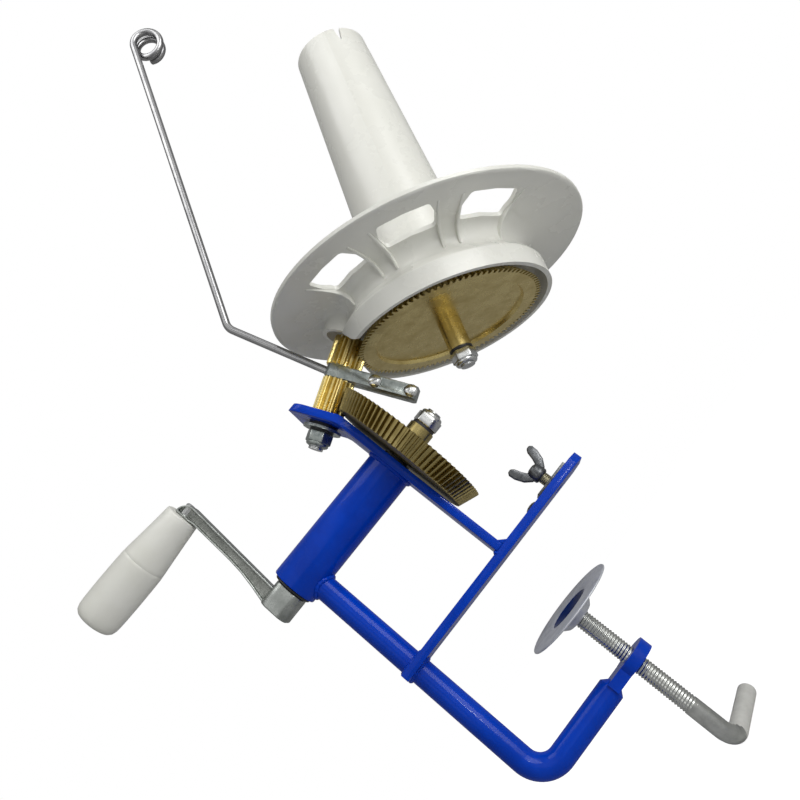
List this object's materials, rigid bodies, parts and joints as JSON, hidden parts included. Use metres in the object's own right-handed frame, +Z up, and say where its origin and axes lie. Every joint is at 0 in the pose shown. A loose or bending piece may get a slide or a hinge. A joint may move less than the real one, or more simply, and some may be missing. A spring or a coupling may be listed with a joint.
{
  "type": "yarn ball winder",
  "caption": "Hand cranked yarn ball winder on a table clamp, with toothed brass gears, a tilted cone on a flanged carrier and a wire yarn guide",
  "frame": {"origin": "On the underside of the table bar, which lies on the table top, in the middle of its width and in line with the gear plate's front face", "axes": "+Z up, away from the table; +Y along the crank shaft from the crank toward the drive gear; +X completes the right-handed frame, square to the mid plane that holds every shaft"},
  "size_m": [0.183, 0.3578, 0.5272],
  "materials": {
    "blue_paint": "glossy sprayed enamel",
    "zinc": "bright zinc plated",
    "steel": "bright drawn wire",
    "block_steel": "dull zinc plated",
    "cast_alloy": "cast, lightly blasted",
    "brass": "machined, satin",
    "black_plastic": "moulded, semi matte",
    "white_plastic": "moulded, semi gloss"
  },
  "bodies": {
    "frame": {"gear_plate": "blue_paint", "table_bar": "blue_paint", "housing_tube": "blue_paint", "front_bush": "black_plastic", "rear_bush": "black_plastic", "clamp_rod": "blue_paint", "tab_bush": "black_plastic", "guide_block": "block_steel", "block_screws": "zinc", "sun_pinion": "brass", "guide_wire": "steel", "bar_rivet": "zinc"},
    "carrier": {"main_shaft": "zinc", "drive_pinion": "brass", "tab_washer": "block_steel", "tab_nut": "zinc", "spool_carrier": "white_plastic", "carrier_bush": "black_plastic"},
    "spool": {"yarn_cone": "white_plastic", "ring_gear": "brass", "spool_shaft": "zinc", "spool_washer": "black_plastic", "spool_nut": "zinc"},
    "crank": {"crank_shaft": "zinc", "crank_arm": "cast_alloy", "drive_gear": "brass", "drive_washer": "black_plastic", "drive_nut": "zinc", "grip_spindle": "zinc"},
    "grip": {"crank_grip": "white_plastic"},
    "pad": {"clamp_pad": "zinc"},
    "screw": {"clamp_screw": "zinc"},
    "clip": {"clip_plate": "zinc"},
    "wing": {"wing_bolt": "zinc"}
  },
  "joints": [
    {"name": "carrier_spin", "type": "hinge", "parent": "frame", "child": "carrier", "pos_m": [0, 0.008, 0.1251], "axis": [0, 0.9304, 0.3665], "continuous": true},
    {"name": "spool_spin", "type": "hinge", "parent": "carrier", "child": "spool", "pos_m": [0, 0.11583, 0.16758], "axis": [0, 0.4924, 0.8704], "continuous": true},
    {"name": "crank_spin", "type": "hinge", "parent": "frame", "child": "crank", "pos_m": [0, 0, 0.075], "axis": [0, 1, 0], "continuous": true},
    {"name": "grip_spin", "type": "hinge", "parent": "crank", "child": "grip", "pos_m": [0, -0.12, 0.147], "axis": [0, -1, 0], "continuous": true},
    {"name": "clamp_travel", "type": "slide", "parent": "frame", "child": "pad", "axis": [0, 0, 1], "range_m": [-0.022, 0.036]},
    {"name": "clamp_turn", "type": "hinge", "parent": "pad", "child": "screw", "pos_m": [0, -0.004, -0.07], "axis": [0, 0, 1], "range_deg": [-5280, 8640]},
    {"name": "clip_travel", "type": "slide", "parent": "frame", "child": "clip", "axis": [0, 0, 1], "range_m": [0, 0.004]},
    {"name": "wing_turn", "type": "hinge", "parent": "clip", "child": "wing", "pos_m": [0, 0.04, 0.01], "axis": [0, 0, 1], "range_deg": [0, 1440]}
  ],
  "couplings": [
    {"joint": "crank_spin", "follows": "carrier_spin", "ratio": -0.19277},
    {"joint": "spool_spin", "follows": "carrier_spin", "ratio": 0.18},
    {"joint": "clamp_turn", "follows": "clamp_travel", "rad_per_m": 4188.8},
    {"joint": "wing_turn", "follows": "clip_travel", "rad_per_m": 6283.2}
  ]
}
